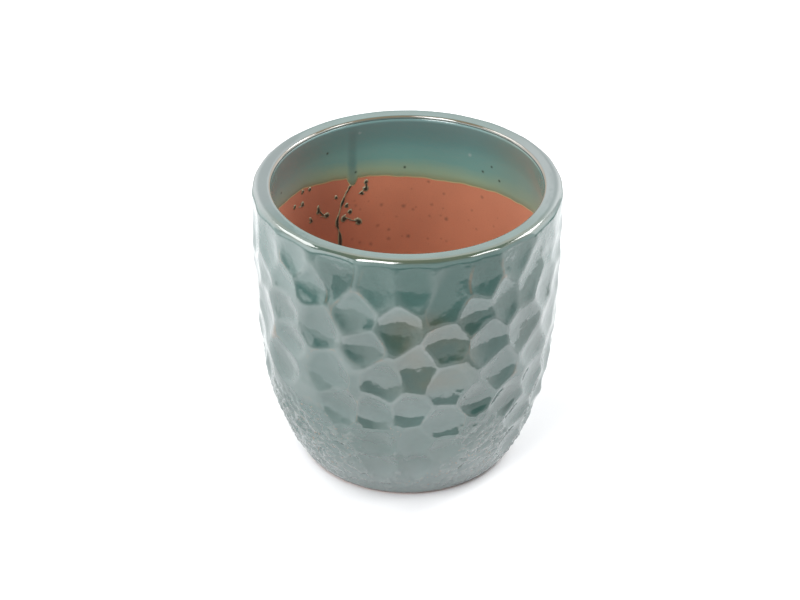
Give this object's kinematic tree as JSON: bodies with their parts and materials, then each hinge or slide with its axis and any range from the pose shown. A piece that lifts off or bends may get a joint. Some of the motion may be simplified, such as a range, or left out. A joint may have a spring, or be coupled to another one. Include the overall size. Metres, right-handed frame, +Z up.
{
  "type": "flower pot",
  "caption": "Round ceramic flower pot with a flared wall carved in overlapping scoops, glazed outside and over the rim, bare clay inside above a central drain hole.",
  "frame": {"origin": "on the ground, on the pot's axis", "axes": "+Z up along the pot's axis; -Y is the front that the picture shows"},
  "size_m": [0.3076, 0.3076, 0.3015],
  "materials": {
    "clay": "matte unglazed terracotta",
    "outer_glaze": "gloss blue-green glaze that breaks brown on edges",
    "inner_glaze": "gloss green glaze",
    "glaze_drops": "gloss dark drops"
  },
  "bodies": {
    "root": {"clay_body": "clay", "outer_glaze": "outer_glaze", "inner_glaze_band": "inner_glaze", "glaze_run": "glaze_drops", "glaze_splash_01": "glaze_drops", "glaze_splash_02": "glaze_drops", "glaze_splash_03": "glaze_drops", "glaze_splash_04": "glaze_drops", "glaze_splash_05": "glaze_drops", "glaze_splash_06": "glaze_drops", "glaze_splash_07": "glaze_drops", "glaze_splash_08": "glaze_drops", "glaze_splash_09": "glaze_drops", "glaze_splash_10": "glaze_drops", "glaze_splash_11": "glaze_drops", "glaze_splash_12": "glaze_drops", "glaze_splash_13": "glaze_drops", "glaze_splash_14": "glaze_drops", "glaze_splash_15": "glaze_drops"}
  },
  "joints": []
}
